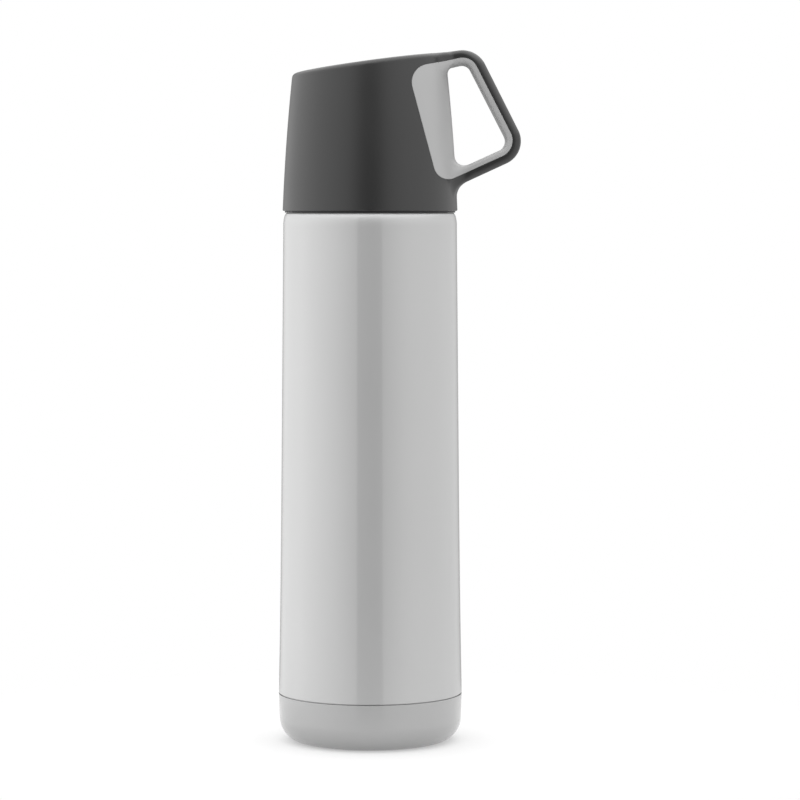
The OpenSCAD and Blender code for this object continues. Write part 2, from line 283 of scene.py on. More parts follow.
def outline_distance(corners, x, z):
    """Signed distance to a convex outline in the X-Z plane, corners (x, z, radius) in clockwise order."""
    worst = np.full(np.shape(x), -1e9)
    for i, (_, _, r) in enumerate(corners):
        here, back, on, middle, half = corner_frame(corners, i)
        apex = here + middle * r / math.sin(half)
        dx, dz = x - apex[0], z - apex[1]
        before, after = dx * back[1] - dz * back[0], dz * on[0] - dx * on[1]
        beyond = (dx * back[0] + dz * back[1] < 0) & (dx * on[0] + dz * on[1] < 0)
        worst = np.maximum(worst, np.where(beyond, np.hypot(dx, dz), np.maximum(before, after)) - r)
    return worst


def inset_corners(corners, d):
    """The outline moved in by d."""
    moved = []
    for i, (_, _, r) in enumerate(corners):
        here, _, _, middle, half = corner_frame(corners, i)
        x, z = here + middle * d / math.sin(half)
        moved.append((x, z, max(r - d, 0.5)))
    return moved


FOOT_Z = 9.2  # the handle's lower edge meets the mug's wall here
TOP_CORNER, FOOT_CORNER = (40.4, cup_top(40.4), 9.5), (60.37, 21.9, 9.2)
FOOT_SLOPE = (FOOT_CORNER[1] - FOOT_Z) / (FOOT_CORNER[0] - cup_wall_r(FOOT_Z))
BACK_LEAN = (FOOT_CORNER[0] - TOP_CORNER[0]) / (TOP_CORNER[1] - FOOT_CORNER[1])
BURIED_X, SHARP = 20.0, 0.01  # the handle's outlines end here, inside the mug, in corners of this radius
BAND = [(BURIED_X, cup_top(BURIED_X), SHARP), TOP_CORNER, FOOT_CORNER,
        (BURIED_X, FOOT_CORNER[1] - (FOOT_CORNER[0] - BURIED_X) * FOOT_SLOPE, SHARP)]
RAISE = 14.0  # the side walls run this far above the top, which then cuts them
BAND_SIDES = [(BURIED_X, cup_top(BURIED_X) + RAISE, SHARP),
              (TOP_CORNER[0] - RAISE * BACK_LEAN, TOP_CORNER[1] + RAISE, SHARP), FOOT_CORNER, BAND[3]]
WINDOW = [(14.1, 52.9, 7.1), (38.1, 58.5, 6.0), (56.2, 23.4, 6.4), (25.9, 9.6, 5.6)]
HOLE = inset_corners(WINDOW, LINING_T)
ARC_X = 33.8  # the top's plane ends here and its end arc begins
JOIN_Z = (9.0, 16.0, 50.0)  # heights of the handle's foot, and of the finger hole's two ends
JOIN_R = (3.6, 5.6, 2.4)  # fillets between handle and mug at those heights
JOIN_SIDE_R = (4.4, 5.6, 5.6)  # and along the handle's two sides
SIDE_FROM, SIDE_OVER = 1.5, 2.5  # the side fillets begin this far inside its faces, and grow over this width
TOP_EDGE_R, RIM_EDGE_R = 1.4, 0.3
BAND_EDGE_R, HOLE_EDGE_R = 2.6, 1.3
EDGE_OVER = 7.0  # the edge of the top grows to the band's edge over this length


def mug_distance(p):
    """Signed distance from points to the outside of mug and handle."""
    x, y, z = p[..., 0], p[..., 1], p[..., 2]
    side = np.hypot(x, y) - cup_wall_r(z)
    top = (z - cup_top(x)) * math.cos(CUP_SLANT)
    face = np.abs(y) - HANDLE_W / 2
    gap = -outline_distance(HOLE, x, z)
    inner_join, side_join = np.interp(z, JOIN_Z, JOIN_R), np.interp(z, JOIN_Z, JOIN_SIDE_R)
    join = inner_join + (side_join - inner_join) * eased((face + SIDE_FROM) / SIDE_OVER)
    edge = TOP_EDGE_R + (BAND_EDGE_R - TOP_EDGE_R) * eased((x - ARC_X) / EDGE_OVER)
    sides = round_max(round_max(outline_distance(BAND_SIDES, x, z), face, edge), gap, HOLE_EDGE_R)
    whole = round_max(round_max(outline_distance(BAND, x, z), face, edge), gap, HOLE_EDGE_R)
    near = round_max(round_min(side, sides, join), top, TOP_EDGE_R)
    outer = round_min(side, whole, join)
    return round_max(np.where(x < ARC_X, near, outer), -z, RIM_EDGE_R)


def gradient(field, p, eps=0.01):
    """Slope of a field at points."""
    g = np.empty_like(p)
    for k in range(3):
        d = np.zeros(3)
        d[k] = eps
        g[..., k] = (field(p + d) - field(p - d)) / (2 * eps)
    return g


def onto(field, p, rounds=3, reach=0.4):
    """Points moved onto the field's surface."""
    for _ in range(rounds):
        g = gradient(field, p)
        step = field(p)[:, None] * g / np.maximum((g * g).sum(1), 1e-6)[:, None]
        p = p - np.clip(step, -reach, reach)
    return p


def surface_of(field, lo, hi, h):
    """(points, quads) of the field's zero surface, by surface nets on a grid of step h."""
    counts = [int(math.ceil((b - a) / h)) + 1 for a, b in zip(lo, hi)]
    axes = [a + h * np.arange(n) for a, n in zip(lo, counts)]
    value = np.empty(counts, np.float32)
    for i, x in enumerate(axes[0]):
        plane = np.stack(np.meshgrid([x], axes[1], axes[2], indexing="ij"), -1)
        value[i] = field(plane)[0]
    inside = value < 0
    cells = [n - 1 for n in counts]
    total, crossings = np.zeros((*cells, 3)), np.zeros(cells, np.int32)
    corners = [(i, j, k) for i in (0, 1) for j in (0, 1) for k in (0, 1)]

    def corner(c, grid):
        return grid[c[0] : c[0] + cells[0], c[1] : c[1] + cells[1], c[2] : c[2] + cells[2]]

    for a in corners:
        for axis in range(3):
            if a[axis]:
                continue
            b = tuple(1 if k == axis else a[k] for k in range(3))
            va, vb = corner(a, value), corner(b, value)
            cut = corner(a, inside) != corner(b, inside)
            share = np.where(cut, va / np.where(cut, va - vb, 1), 0)
            for k in range(3):
                total[..., k] += np.where(cut, a[k] + (share if k == axis else 0), 0)
            crossings += cut
    used = crossings > 0
    index = np.full(cells, -1)
    index[used] = np.arange(used.sum())
    place = np.argwhere(used) + total[used] / crossings[used][:, None]
    points = np.array(lo) + h * place
    quads = []
    for axis in range(3):
        u, v = [k for k in range(3) if k != axis]
        first = [slice(1, cells[k]) if k != axis else slice(0, cells[k]) for k in range(3)]
        ahead = list(first)
        ahead[axis] = slice(1, cells[axis] + 1)
        a, b = inside[tuple(first)], inside[tuple(ahead)]

        def cell(du, dv):
            at = list(first)
            at[u] = slice(1 - du, cells[u] - du)
            at[v] = slice(1 - dv, cells[v] - dv)
            return index[tuple(at)]

        ring = np.stack([cell(1, 1), cell(0, 1), cell(0, 0), cell(1, 0)], -1)
        if axis == 1:
            ring = ring[..., ::-1]
        quads += [ring[a & ~b], ring[~a & b][..., ::-1]]
    return points, np.concatenate(quads)


def relaxed(field, points, quads, rounds=4):
    """Evens the net out along the surface."""
    pairs = np.concatenate([quads[:, [0, 1]], quads[:, [1, 2]], quads[:, [2, 3]], quads[:, [3, 0]]])
    pairs = np.concatenate([pairs, pairs[:, ::-1]])
    count = np.bincount(pairs[:, 0], minlength=len(points))[:, None]
    for _ in range(rounds):
        total = np.zeros_like(points)
        np.add.at(total, pairs[:, 0], points[pairs[:, 1]])
        points = onto(field, 0.5 * points + 0.5 * total / count, 1)
    return onto(field, points, 2)


def on_both(field, cut, p):
    """Points moved onto both surfaces."""
    for _ in range(5):
        p = onto(cut, p, 1)
        p = onto(field, p, 1)
    return p


def parted(field, cut, points, faces, h):
    """Splits a mesh of step h along cut = 0: (points, faces where cut > 0, faces where cut < 0)."""
    value = cut(points)
    close = np.abs(value) < 0.32 * h  # points this near the cut move onto it
    points = points.copy()
    points[close] = on_both(field, cut, points[close])
    value[close] = 0
    made, added, keep, rest = {}, [], [], []
    for f in faces:
        signs = [value[i] for i in f]
        if min(signs) >= 0:
            keep.append(list(f))
            continue
        if max(signs) <= 0:
            rest.append(list(f))
            continue
        over, under = [], []
        for k, i in enumerate(f):
            j = f[(k + 1) % len(f)]
            if value[i] >= 0:
                over.append(i)
            if value[i] <= 0:
                under.append(i)
            if value[i] * value[j] < 0:
                key = (min(i, j), max(i, j))
                if key not in made:
                    made[key] = len(points) + len(added)
                    t = value[i] / (value[i] - value[j])
                    added.append(points[i] + t * (points[j] - points[i]))
                over.append(made[key])
                under.append(made[key])
        keep.append(over)
        rest.append(under)
    if added:
        points = np.concatenate([points, on_both(field, cut, np.array(added))])
    return points, [f for f in keep if len(f) > 2], [f for f in rest if len(f) > 2]


def compact(points, faces):
    """Only the points that the faces use."""
    used = sorted({i for f in faces for i in f})
    where = {old: new for new, old in enumerate(used)}
    return points[used], [[where[i] for i in f] for f in faces]


def thickened(field, points, faces, thickness, chamfer=0.12, sink=0.0):
    """A closed skin from an open mesh on the field's surface: its inner face lies thickness below."""
    points, faces = compact(points, faces)
    normal = gradient(field, points)
    normal /= np.linalg.norm(normal, axis=1)[:, None]
    points = points - sink * normal
    edges = {}
    for f in faces:
        for k, i in enumerate(f):
            edges[(i, f[(k + 1) % len(f)])] = True
    border = [(i, j) for i, j in edges if (j, i) not in edges]
    inward = np.zeros_like(points)
    for i, j in border:
        along = points[j] - points[i]
        for k in (i, j):
            inward[k] += np.cross(normal[k], along) / max(np.linalg.norm(along), 1e-9)
    length = np.linalg.norm(inward, axis=1)
    rim = np.flatnonzero(length > 0)
    inward[rim] /= length[rim][:, None]
    outer = points.copy()
    outer[rim] += chamfer * inward[rim]
    count = len(points)
    step = {v: 2 * count + n for n, v in enumerate(rim)}
    lip = points[rim] - chamfer * normal[rim]
    verts = np.concatenate([outer, points - thickness * normal, lip])
    made = [list(f) for f in faces] + [[i + count for i in f[::-1]] for f in faces]
    for i, j in border:
        made.append([j, i, step[i], step[j]])
        made.append([step[j], step[i], i + count, j + count])
    return verts, made


# ---------------------------------------------------------------- materials


def material(name, colour, roughness, metallic=0.0, **sockets):
    """A Principled material, its even values on the shader's own sockets."""
    m = bpy.data.materials.new(name)
    m.use_nodes = True
    shader = m.node_tree.nodes["Principled BSDF"]
    shader.inputs["Base Color"].default_value = (*colour, 1)
    shader.inputs["Roughness"].default_value = roughness
    shader.inputs["Metallic"].default_value = metallic
    for key, value in sockets.items():
        shader.inputs[key.replace("_", " ")].default_value = value
    return m


def add(m, kind, **values):
    """A new node with its settings."""
    node = m.node_tree.nodes.new(kind)
    for key, value in values.items():
        if hasattr(node, key):
            setattr(node, key, value)
        else:
            node.inputs[key].default_value = value
    return node


def noise(m, scale, stretch=(1, 1, 1), detail=3.0, roughness=0.5):
    """Noise in the object's own space, in cycles per metre, stretched along its axes."""
    place = add(m, "ShaderNodeTexCoord")
    mapping = add(m, "ShaderNodeMapping")
    mapping.inputs["Scale"].default_value = stretch
    field = add(m, "ShaderNodeTexNoise", Scale=scale, Detail=detail, Roughness=roughness)
    link = m.node_tree.links.new
    link(place.outputs["Object"], mapping.inputs["Vector"])
    link(mapping.outputs["Vector"], field.inputs["Vector"])
    return field.outputs["Fac"]


def spread(m, value, lo, hi):
    """Maps a 0 to 1 value onto lo to hi."""
    node = add(m, "ShaderNodeMapRange")
    node.inputs["To Min"].default_value = lo
    node.inputs["To Max"].default_value = hi
    m.node_tree.links.new(value, node.inputs["Value"])
    return node.outputs["Result"]


def tint(m, value, dark, light):
    """Base colour between two colours."""
    mix = add(m, "ShaderNodeMix", data_type="RGBA")
    mix.inputs["A"].default_value = (*dark, 1)
    mix.inputs["B"].default_value = (*light, 1)
    link = m.node_tree.links.new
    link(value, mix.inputs["Factor"])
    link(mix.outputs["Result"], m.node_tree.nodes["Principled BSDF"].inputs["Base Color"])


def bump(m, value, depth, strength=1.0, under=None):
    """Relief of a depth in millimetres."""
    node = add(m, "ShaderNodeBump", Strength=strength, Distance=depth * MM)
    link = m.node_tree.links.new
    link(value, node.inputs["Height"])
    if under is not None:
        link(under, node.inputs["Normal"])
    link(node.outputs["Normal"], m.node_tree.nodes["Principled BSDF"].inputs["Normal"])
    return node.outputs["Normal"]


def rough(m, value, lo, hi):
    m.node_tree.links.new(spread(m, value, lo, hi), m.node_tree.nodes["Principled BSDF"].inputs["Roughness"])


def grey(v, warm=0.0):
    return (v * (1 + warm), v, v * (1 - warm))


def steel(name, shade, lo, hi, grain=0.004, coat=0.0, metallic=1.0):
    """Drawn stainless steel: fine lines round the axis, and slow clouds in its polish."""
    m = material(name, grey(shade), lo, metallic, Coat_Weight=coat, Coat_Roughness=0.05, Coat_IOR=1.7)
    lines = noise(m, 60, (1, 1, 90), 4.0, 0.6)
    clouds = noise(m, 38, (1, 1, 0.5), 3.0)
    tint(m, clouds, grey(shade * 0.975), grey(shade * 1.02))
    rough(m, lines, lo, hi)
    bump(m, lines, grain)
    return m


def plastic(name, shade, lo, hi, grain=0.012, warm=0.0, ior=1.5):
    """Moulded plastic with the fine even grain of a spark-eroded mould."""
    m = material(name, grey(shade, warm), lo, IOR=ior)
    fine = noise(m, 2600, detail=2.0, roughness=0.6)
    clouds = noise(m, 55, detail=2.0)
    tint(m, clouds, grey(shade * 0.96, warm), grey(shade * 1.04, warm))
    rough(m, clouds, lo, hi)
    bump(m, fine, grain, 0.5)
    return m


STEEL_BODY = steel("steel_body", 0.42, 0.50, 0.56, coat=1.0, metallic=0.6)
# The base cup's steel is a darker copy of the body's steel: its lower shade is painted shade for the dimmer
# light round the foot of the flask.
STEEL_BASE_PAINTED_SHADE = steel("steel_base", 0.35, 0.50, 0.56, coat=1.0, metallic=0.6)
STEEL_PLAIN = steel("steel_plain", 0.55, 0.28, 0.42, 0.008)
STEEL_INNER = steel("steel_inner", 0.55, 0.24, 0.34, 0.006)
SPRING_STEEL = steel("spring_steel", 0.58, 0.18, 0.26, 0.003)
DARK = plastic("dark_plastic", 0.007, 0.33, 0.39, ior=1.62)
LIGHT = plastic("light_plastic", 0.35, 0.38, 0.46)
BLACK = plastic("black_plastic", 0.020, 0.36, 0.44)
HOUSING = plastic("stopper_plastic", 0.035, 0.34, 0.42)
BUTTON = plastic("button_plastic", 0.36, 0.36, 0.44)


def silicone(name, shade, warm, soft):
    """Silicone rubber: even, matt, and slightly see-through where it is light."""
    reach = (0.004, 0.003, 0.002)
    m = material(name, grey(shade, warm), 0.5, Subsurface_Weight=soft, Subsurface_Radius=reach)
    m.node_tree.nodes["Principled BSDF"].inputs["Subsurface Scale"].default_value = 0.3
    dust = noise(m, 900, detail=3.0)
    tint(m, noise(m, 120), grey(shade * 0.94, warm), grey(shade * 1.05, warm))
    rough(m, dust, 0.46, 0.62)
    bump(m, dust, 0.01, 0.4)
    return m


DARK_RUBBER = silicone("dark_silicone", 0.016, 0.0, 0.0)
CLEAR_RUBBER = silicone("clear_silicone", 0.70, 0.04, 0.3)


def foil():
    """Thin metal foil with fine creases."""
    m = material("foil", (0.80, 0.50, 0.33), 0.2, 1.0)
    creases = add(m, "ShaderNodeTexVoronoi", feature="DISTANCE_TO_EDGE", Scale=160.0)
    place = add(m, "ShaderNodeTexCoord")
    m.node_tree.links.new(place.outputs["Object"], creases.inputs["Vector"])
    rough(m, creases.outputs["Distance"], 0.16, 0.34)
    tint(m, noise(m, 90), (0.76, 0.46, 0.30), (0.84, 0.54, 0.36))
    bump(m, creases.outputs["Distance"], 0.05, 0.6)
    return m


def foam():
    """Rigid foam with open cells on its cut faces."""
    m = material("foam", (0.84, 0.81, 0.70), 0.9)
    cells = add(m, "ShaderNodeTexVoronoi", Scale=1400.0)
    place = add(m, "ShaderNodeTexCoord")
    m.node_tree.links.new(place.outputs["Object"], cells.inputs["Vector"])
    tint(m, cells.outputs["Distance"], (0.72, 0.68, 0.56), (0.88, 0.86, 0.76))
    rough(m, cells.outputs["Distance"], 0.85, 0.98)
    bump(m, cells.outputs["Distance"], 0.15, 0.7)
    return m


def sintered():
    """Pressed metal powder."""
    m = material("getter", grey(0.16), 0.7, 0.8)
    grains = noise(m, 2200, detail=4.0, roughness=0.7)
    tint(m, grains, grey(0.10), grey(0.22))
    rough(m, grains, 0.55, 0.85)
    bump(m, grains, 0.03, 0.8)
    return m


def solder():
    """Dull metal that has flowed and set."""
    m = material("solder", grey(0.30), 0.5, 0.9)
    ripples = noise(m, 420, detail=2.0)
    tint(m, ripples, grey(0.24), grey(0.36))
    rough(m, ripples, 0.40, 0.62)
    bump(m, ripples, 0.06, 0.6)
    return m


# ---------------------------------------------------------------- steel body


def outer_shell():
    rolled_w, rolled_h = 1.5, 5.0  # the rounded shoulder
    under_w = 2.4  # the same inside
    neck_top = MOUTH_Z - 0.62
    wall = [(wall_r(z), z) for z in np.linspace(SEAM_TOP + SEAM_LIP, BODY_H - rolled_h, 60)]
    shoulder = arc(SHOULDER_R - rolled_w, BODY_H - rolled_h, rolled_w, rolled_h, 0, 90, 20)[1:]
    neck = [(NECK_R, BODY_H), (NECK_R, neck_top)]
    inside = [(NECK_R - STEEL_T, neck_top), (NECK_R - STEEL_T, BODY_H - STEEL_T)]
    inside += [(SHOULDER_R - under_w, BODY_H - STEEL_T)]
    inside += [(wall_r(z) - STEEL_T, z) for z in np.linspace(BODY_H - rolled_h, SEAM_TOP, 24)]
    outline = [(wall_r(SEAM_TOP) - SEAM_LIP, SEAM_TOP)] + wall + shoulder + neck + inside
    mesh_piece("outer_shell_skin", lathe(outline, 224), "flask", "outer_shell", STEEL_BODY)


def base_cup():
    corner_w, corner_h = 8.0, 9.5
    spigot_r, spigot_h = 34.3, 4.0
    ring_r, recess_z, vent_r = 24.6, 3.0, 1.2
    side_r = wall_r(SEAM_Z)
    corner_r = side_r - 0.2  # the side leans out a little from the corner to the seam
    outside = arc(corner_r - corner_w, corner_h, corner_w, corner_h, -90, 0, 28)
    for t in (0.25, 0.5, 0.75, 1.0):
        outside.append((corner_r + (side_r - corner_r) * t, corner_h + (BASE_TOP - SEAM_LIP - corner_h) * t))
    outside += [(side_r - SEAM_LIP, BASE_TOP), (spigot_r, BASE_TOP), (spigot_r, BASE_TOP + spigot_h)]
    inside = [(spigot_r - STEEL_T, BASE_TOP + spigot_h), (spigot_r - STEEL_T, BASE_TOP - 1.2)]
    inside += [(corner_r - STEEL_T, BASE_TOP - 2)]
    inside += arc(corner_r - corner_w, corner_h, corner_w - STEEL_T, corner_h - STEEL_T, 0, -90, 16)
    inside += [(ring_r, STEEL_T), (ring_r, recess_z + STEEL_T)]
    inside += [(vent_r, recess_z + STEEL_T), (vent_r, recess_z)]
    recess = filleted([
        (ring_r - STEEL_T, recess_z, 0.5), (ring_r - STEEL_T, 0.0, 0.35),
        (ring_r + 1, 0.0, 0.0), (ring_r + 1, recess_z, 0.0)])[:-2]
    mesh_piece("base_cup_skin", lathe(outside + inside + recess, 224), "flask", "base_cup", STEEL_BASE_PAINTED_SHADE)


def base_disc():
    r, t = 23.8, 0.5
    z, top = low("base_disc"), high("base_disc")
    inner_r, outer_r, step, soft = r * 0.58, r * 0.60, 0.25, 0.6  # a shallow pressed step round the middle
    outline = filleted([
        (0, z + step, 0), (inner_r, z + step, soft), (outer_r, z, soft), (r, z, 0.5), (r, top, 0),
        (r - t, top, 0), (r - t, z + t, 0.2), (outer_r, z + t, soft), (inner_r, z + t + step, soft),
        (0, z + t + step, 0)])
    mesh_piece("base_disc_skin", lathe(outline), "flask", "base_disc", STEEL_PLAIN)


def inner_vessel():
    """The liner with its neck, rolled rim and thread."""
    t, r = LINER_T, LINER_R
    foot, top = low("liner"), BODY_H - 3
    neck = THROAT_R + t
    bend = r - neck
    outside = [(r, z) for z in np.linspace(foot, top - bend, 6)]
    outside += arc(neck, top - bend, bend, bend, 0, 80, 20)[1:]
    outside += [(neck, top + 1), (neck, MOUTH_Z - 0.6)]
    rim = filleted([(NECK_R, MOUTH_Z - 0.6, 0.1), (NECK_R, MOUTH_Z, 0.28), (THROAT_R, MOUTH_Z, 0.3),
                    (THROAT_R, MOUTH_Z - 3, 0)])
    inside = [(THROAT_R, top + 0.6)] + arc(neck, top - bend, bend - t, bend - t, 80, 0, 20)
    inside += [(r - t, z) for z in np.linspace(top - bend, foot, 6)][1:]
    part = joined(lathe(outside + rim + inside, 176), thread(THROAT_R, 22.35, MOUTH_Z - 9.2))
    mesh_piece("inner_vessel", part, "flask", "liner", STEEL_INNER)


def inner_base():
    t, r, z, top, knuckle = LINER_T, LINER_R, low("liner_base"), high("liner_base"), 6.0
    outside = [(0, z)] + arc(r - knuckle, z + knuckle, knuckle, knuckle, -90, 0, 16) + [(r, top)]
    inside = [(r - t, top)] + arc(r - knuckle, z + knuckle, knuckle - t, knuckle - t, 0, -90, 16)
    inside += [(0, z + t)]
    mesh_piece("inner_vessel_base", lathe(outside + inside, 176), "flask", "liner_base", STEEL_INNER)


def neck_collar():
    flange, root, bore, top = 29.6, 27.95, NECK_R + 0.02, MOUTH_Z - 1.6
    outline = filleted([
        (bore, BODY_H, 0.1), (flange, BODY_H, 0.15), (flange, BODY_H + 0.7, 0.25), (root, BODY_H + 1.2, 0.3),
        (root, top, 0.5), (bore, top, 0.3)])
    part = joined(lathe(outline, 176), thread(root, 28.85, BODY_H + 5.2))
    mesh_piece("neck_collar_moulding", part, "flask", "neck_collar", BLACK)


def ring_piece(name, node, body, mat, r_in, r_out, soft):
    """A moulded ring whose section is rounded by soft."""
    z0, z1 = low(node), high(node)
    outline = filleted([(r_in, z0, soft), (r_out, z0, soft), (r_out, z1, soft), (r_in, z1, soft)], 15)
    mesh_piece(name, lathe(outline, 176), body, node, mat)


# ---------------------------------------------------------------- mug lid


def mug_skins():
    """(verts, faces) of the dark moulding, and of the light window with the handle's lining."""
    h = 0.62
    room = 1.5
    lo, hi = (-CUP_R - room, -CUP_R - room, -room), (60.0, CUP_R + room, 64.0)
    points, quads = surface_of(mug_distance, lo, hi, h)
    points = relaxed(mug_distance, points, quads)

    def rim_cut(p):
        low_down = p[..., 2] < 5
        return np.where(low_down, np.hypot(p[..., 0], p[..., 1]) - (CUP_R - SHELL_T), 5.0)

    def window_cut(p):
        return outline_distance(WINDOW, p[..., 0], p[..., 2])

    def rounding_foot(p):
        return np.where(p[..., 2] < 1, np.hypot(p[..., 0], p[..., 1]) - (cup_wall_r(0) - RIM_EDGE_R), 5.0)

    def rounding_top(p):
        return p[..., 2] - RIM_EDGE_R

    skin = quads.tolist()
    for line in (rounding_foot, rounding_top):
        points, over, under = parted(mug_distance, line, points, skin, h)
        skin = over + under
    points, skin, _ = parted(mug_distance, rim_cut, points, skin, h)
    points, dark, light = parted(mug_distance, window_cut, points, skin, h)
    return (thickened(mug_distance, points, dark, SHELL_T - 0.05),
            thickened(mug_distance, points, light, SHELL_T + 0.3, sink=0.03))


def mug_vessel():
    """(verts, faces) of the inner mug behind the window, with its thread."""
    t = SHELL_T + 0.02
    top_z = CUP_H - t
    top_r = cup_wall_r(top_z) - t
    outer = [(cup_wall_r(z) - t, z) for z in np.linspace(0.6, top_z - 2, 30)]
    outer += filleted([(top_r, top_z - 2, 0), (top_r, top_z, 1.2), (0, top_z, 0)])[1:]
    t = SHELL_T + MUG_T
    ceiling = CUP_H - t
    roof_r = cup_wall_r(ceiling) - t
    inner = [(0, ceiling)]
    inner += filleted([(0, ceiling, 0), (roof_r, ceiling, 3.0), (roof_r, ceiling - 5, 0)])[1:-1]
    inner += [(cup_wall_r(z) - t, z) for z in np.linspace(ceiling - 5, THREAD_BORE_H + 1, 24)]
    inner += [(THREAD_BORE_R, THREAD_BORE_H), (THREAD_BORE_R, 0.8)]
    rim_r = CUP_R - SHELL_T
    rim = [(THREAD_BORE_R + 0.25, 0.2), (THREAD_BORE_R + 0.6, 0.0), (rim_r - 0.4, 0.0), (rim_r - 0.1, 0.2)]
    vessel = sheared(lathe(outer + inner + rim, 176), 22, 46)
    return joined(vessel, thread(THREAD_BORE_R, 29.1, 3.8))


def mug():
    """The dark outer moulding, and the light inner mug with its window and handle lining."""
    (dark_verts, dark_faces), lining = mug_skins()
    verts, faces = joined(lining, mug_vessel())
    lift = np.array([0, 0, CUP_Z])
    mesh_piece("mug_outer_moulding", (dark_verts + lift, dark_faces), "mug", "cup_shell", DARK)
    mesh_piece("mug_inner_moulding", (np.array(verts) + lift, faces), "mug", "cup_liner", LIGHT)


# ---------------------------------------------------------------- stopper


PLUG_R, STEM_BORE_R = 21.0, 2.22


def stopper_body():
    chamber, channel, flange = 19.4, 8.5, 26.6
    spout = channel + 1.5
    outline = filleted([
        (channel, PLUG_Z, 0), (spout, PLUG_Z, 0), (spout, FLANGE_Z, 0.3), (chamber, FLANGE_Z, 0.3),
        (chamber, PLUG_Z, 0), (PLUG_R, PLUG_Z, 0.2), (PLUG_R, FLANGE_Z, 0.25), (flange, FLANGE_Z, 0.3),
        (flange, DECK_Z, 0.6), (channel, DECK_Z, 0.2)])
    part = joined(lathe(outline, 176), thread(PLUG_R, 22.1, MOUTH_Z - 10.4))
    mesh_piece("stopper_plug", part, "stopper", "stopper_body", BLACK)


def stopper_base():
    seat, socket = 7.6, 19.38
    lip = socket - 1.7
    z0, z1, z2 = SEAT_Z, PLUG_Z, high("stopper_base")
    outline = filleted([
        (seat, z0, 0.4), (PLUG_R, z0, 0.9), (PLUG_R, z1, 0), (socket, z1, 0), (socket, z2, 0.3),
        (lip, z2, 0.3), (lip, z1, 0), (seat, z1, 0.3)])
    mesh_piece("stopper_base_plate", lathe(outline), "stopper", "stopper_base", BLACK)


def housing():
    """The upper housing keeps its CAD shape, with its edges broken."""
    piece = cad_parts["stopper_top"]
    edge = piece.modifiers.new("edges", "BEVEL")
    edge.width, edge.segments, edge.limit_method, edge.angle_limit = 0.25 * MM, 2, "ANGLE", math.radians(40)
    edge.harden_normals = False
    dress("stopper_top", HOUSING)


def push_button():
    roof, skirt, hollow = BUTTON_Z - 1.8, low("push_button"), BUTTON_R - 1.6
    boss_z, boss, bore_top = roof - 3.1, 4.0, roof - 0.6
    dish_r, dish_depth, dish_edge = 11.5, 0.55, BUTTON_Z - 0.05
    dish = [(r, dish_edge - dish_depth * (1 - (r / dish_r) ** 2)) for r in np.linspace(0, dish_r, 12)]
    outline = dish + filleted([
        (dish_r, dish_edge, 0), (BUTTON_R, BUTTON_Z, 1.2), (BUTTON_R, skirt, 0.2), (hollow, skirt, 0.2),
        (hollow, roof, 0.4), (boss, roof, 0.4), (boss, boss_z, 0.2), (STEM_BORE_R, boss_z, 0),
        (STEM_BORE_R, bore_top, 0), (0, bore_top, 0)])[1:]
    mesh_piece("push_button_cap", lathe(outline), "button", "push_button", BUTTON)


def valve_stem():
    z0, z1, r, head_r = low("valve_stem"), high("valve_stem"), 2.2, 3.4
    neck_z = z0 + 1.38
    outline = filleted([
        (0, z0, 0), (head_r, z0, 0.4), (head_r, neck_z, 0.15), (r, neck_z, 0.1), (r, z1, 0.3), (0, z1, 0)])
    mesh_piece("valve_rod", lathe(outline, 64), "button", "valve_stem", STEEL_PLAIN)


def valve_disc():
    z0, z1, r, hub_r = low("valve_disc"), high("valve_disc"), 9.9, 6.4
    outline = filleted([
        (STEM_BORE_R, z0, 0), (r, z0, 0.6), (r, z0 + 2, 0.2), (hub_r, z0 + 2, 0.1), (hub_r, z1 - 1, 0.8),
        (STEM_BORE_R, z1, 0.3)])
    mesh_piece("valve_plate", lathe(outline), "button", "valve_disc", BLACK)


def button_spring():
    """Round wire wound into a coil of even pitch, its two ends capped."""
    wire, coil, turns = 0.55, 7.0, 4.5
    z0, z1 = low("button_spring") + wire, high("button_spring") - wire
    per_turn, sides = 48, 16
    steps = int(turns * per_turn)
    verts, faces = [], []
    for i in range(steps + 1):
        a = 2 * math.pi * i / per_turn
        for k in range(sides):
            w = 2 * math.pi * k / sides
            r = coil + wire * math.cos(w)
            verts.append((r * math.cos(a), r * math.sin(a), z0 + (z1 - z0) * i / steps + wire * math.sin(w)))
    for i in range(steps):
        for k in range(sides):
            a, b = i * sides + k, i * sides + (k + 1) % sides
            faces.append([a, b, b + sides, a + sides])
    faces += [list(range(sides)), [steps * sides + k for k in range(sides)][::-1]]
    piece = mesh_piece("return_spring", outward(verts, faces), "stopper", "button_spring", SPRING_STEEL)
    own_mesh(piece)
    return piece


def dress(node, mat):
    """Gives a CAD node its material and smooth shading."""
    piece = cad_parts[node]
    piece.data.materials.clear()
    piece.data.materials.append(mat)
    piece.data.polygons.foreach_set("use_smooth", [True] * len(piece.data.polygons))
    piece.data.set_sharp_from_angle(angle=math.radians(35))


# ---------------------------------------------------------------- stage, light and camera


